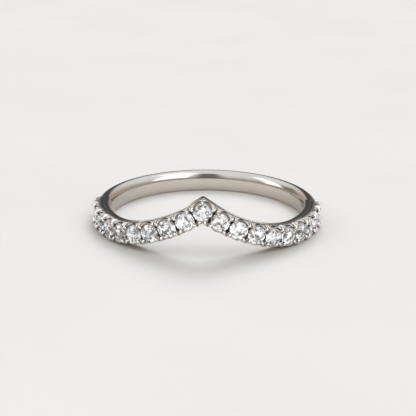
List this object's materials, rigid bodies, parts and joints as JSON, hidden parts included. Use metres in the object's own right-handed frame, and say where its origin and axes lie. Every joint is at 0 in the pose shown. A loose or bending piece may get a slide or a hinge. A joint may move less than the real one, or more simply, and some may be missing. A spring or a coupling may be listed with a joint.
{
  "type": "chevron ring",
  "caption": "Slim half-eternity finger ring that rises to a soft point at the front, with round brilliant stones between scalloped shared prongs and a plain oval band behind.",
  "frame": {"origin": "centre of the finger bore, level with the middle of the plain band's width", "axes": "+Z along the finger bore, the way the chevron points; -Y to the front, through the point and the centre stone; +X to the wearer's or viewer's right as seen from the front"},
  "size_m": [0.02, 0.0199, 0.005],
  "materials": {
    "white_metal": "mirror polished white gold",
    "clear_stone": "clear brilliant cut"
  },
  "bodies": {
    "root": {"band": "white_metal", "stone_centre": "clear_stone", "stone_left_1": "clear_stone", "stone_left_2": "clear_stone", "stone_left_3": "clear_stone", "stone_left_4": "clear_stone", "stone_left_5": "clear_stone", "stone_left_6": "clear_stone", "stone_left_7": "clear_stone", "stone_left_8": "clear_stone", "stone_left_9": "clear_stone", "stone_right_1": "clear_stone", "stone_right_2": "clear_stone", "stone_right_3": "clear_stone", "stone_right_4": "clear_stone", "stone_right_5": "clear_stone", "stone_right_6": "clear_stone", "stone_right_7": "clear_stone", "stone_right_8": "clear_stone", "stone_right_9": "clear_stone"}
  },
  "joints": []
}
